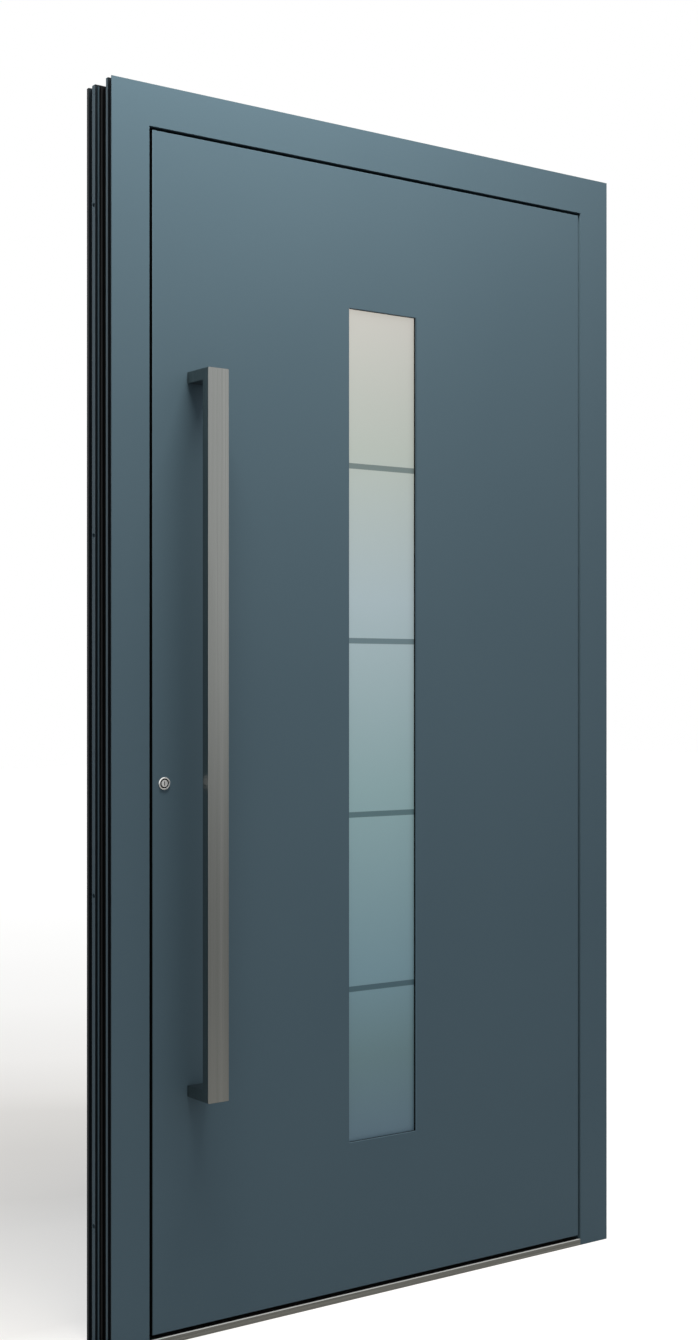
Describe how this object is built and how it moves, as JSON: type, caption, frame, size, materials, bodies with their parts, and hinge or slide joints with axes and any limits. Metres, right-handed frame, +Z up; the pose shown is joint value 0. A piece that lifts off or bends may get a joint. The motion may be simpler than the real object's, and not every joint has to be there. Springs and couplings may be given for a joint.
{
  "type": "glass entrance door with frame",
  "caption": "Inward-opening flush aluminium entrance door in its frame, with a tall narrow frosted glass strip, a long square pull bar, an inner lever and a multi-point lock.",
  "frame": {"origin": "on the floor line under the threshold, midway between the jambs and midway through the frame's depth", "axes": "+X to the right seen from outside (towards the hinges), +Y from outside to inside, +Z up"},
  "size_m": [1.1, 0.2195, 2.1],
  "materials": {
    "coated_aluminium": "satin blue-grey powder coat with a fine texture",
    "stainless_steel": "brushed",
    "mill_aluminium": "satin anodised or as extruded",
    "black_polyamide": "matt",
    "black_rubber": "matt",
    "foam": "rigid foam",
    "clear_glass": "polished",
    "frosted_glass": "sand-blasted, with four clear level stripes"
  },
  "bodies": {
    "frame": {"frame_lock_jamb_outer": "coated_aluminium", "frame_lock_jamb_inner": "coated_aluminium", "frame_hinge_jamb_outer": "coated_aluminium", "frame_hinge_jamb_inner": "coated_aluminium", "frame_head_outer": "coated_aluminium", "frame_head_inner": "coated_aluminium", "frame_insulating_bars": "black_polyamide", "frame_corner_cleats": "mill_aluminium", "threshold_outer_rail": "mill_aluminium", "threshold_insulating_core": "black_polyamide", "threshold_inner_rail": "mill_aluminium", "frame_stop_seals": "black_rubber", "strike_plate_main": "stainless_steel", "strike_plates_auxiliary": "stainless_steel", "hinge_lower_frame_wing": "stainless_steel", "hinge_middle_frame_wing": "stainless_steel", "hinge_upper_frame_wing": "stainless_steel", "hinge_pins": "stainless_steel"},
    "leaf": {"leaf_outer_skin": "coated_aluminium", "leaf_inner_skin": "coated_aluminium", "leaf_lock_stile_outer": "coated_aluminium", "leaf_lock_stile_inner": "coated_aluminium", "leaf_hinge_stile_outer": "coated_aluminium", "leaf_hinge_stile_inner": "coated_aluminium", "leaf_top_rail_outer": "coated_aluminium", "leaf_top_rail_inner": "coated_aluminium", "leaf_bottom_rail_outer": "coated_aluminium", "leaf_bottom_rail_inner": "coated_aluminium", "window_inner_trim": "coated_aluminium", "pull_bar": "stainless_steel", "pull_posts": "stainless_steel", "pull_bolts": "stainless_steel", "lock_faceplate": "stainless_steel", "cylinder_housing": "stainless_steel", "cylinder_outer_ring": "stainless_steel", "cylinder_inner_rose": "stainless_steel", "lever_rose": "stainless_steel", "hinge_lower_leaf_wing": "stainless_steel", "hinge_middle_leaf_wing": "stainless_steel", "hinge_upper_leaf_wing": "stainless_steel", "lock_main_case": "mill_aluminium", "lock_auxiliary_cases": "mill_aluminium", "leaf_insulating_bars": "black_polyamide", "glass_spacers": "black_polyamide", "setting_blocks": "black_polyamide", "hinge_bushes": "black_polyamide", "leaf_edge_seals": "black_rubber", "glazing_seals": "black_rubber", "leaf_core": "foam", "glass_middle_pane": "clear_glass", "glass_inner_pane": "clear_glass", "glass_outer_pane": "frosted_glass"},
    "lever": {"lever_handle": "stainless_steel", "lever_spindle": "stainless_steel"},
    "latch": {"latch_bolt": "stainless_steel"},
    "cylinder_core": {"cylinder_plug": "stainless_steel", "cylinder_thumbturn": "stainless_steel"},
    "bolts": {"deadbolt": "stainless_steel", "auxiliary_bolts": "stainless_steel"},
    "rods": {"drive_rods": "stainless_steel"}
  },
  "joints": [
    {"name": "leaf_swing", "type": "hinge", "parent": "frame", "child": "leaf", "pos_m": [0.4995, 0.0565, 1.025], "axis": [0, 0, -1], "range_deg": [0, 105]},
    {"name": "lever_turn", "type": "hinge", "parent": "leaf", "child": "lever", "pos_m": [-0.452, 0.05, 1.029], "axis": [0, 1, 0], "range_deg": [0, 45], "stiffness_Nm_per_rad": 1.5},
    {"name": "latch_slide", "type": "slide", "parent": "leaf", "child": "latch", "axis": [1, 0, 0], "range_m": [0, 0.012]},
    {"name": "key_turn", "type": "hinge", "parent": "leaf", "child": "cylinder_core", "pos_m": [-0.452, 0, 0.937], "axis": [0, 1, 0], "range_deg": [0, 360]},
    {"name": "bolt_slide", "type": "slide", "parent": "leaf", "child": "bolts", "axis": [-1, 0, 0], "range_m": [0, 0.02]},
    {"name": "rod_slide", "type": "slide", "parent": "leaf", "child": "rods", "axis": [0, 0, 1], "range_m": [0, 0.018]}
  ],
  "couplings": [
    {"joint": "latch_slide", "follows": "lever_turn", "m_per_rad": 0.015278},
    {"joint": "bolt_slide", "follows": "key_turn", "m_per_rad": 0.003183},
    {"joint": "rod_slide", "follows": "key_turn", "m_per_rad": 0.0028647}
  ]
}
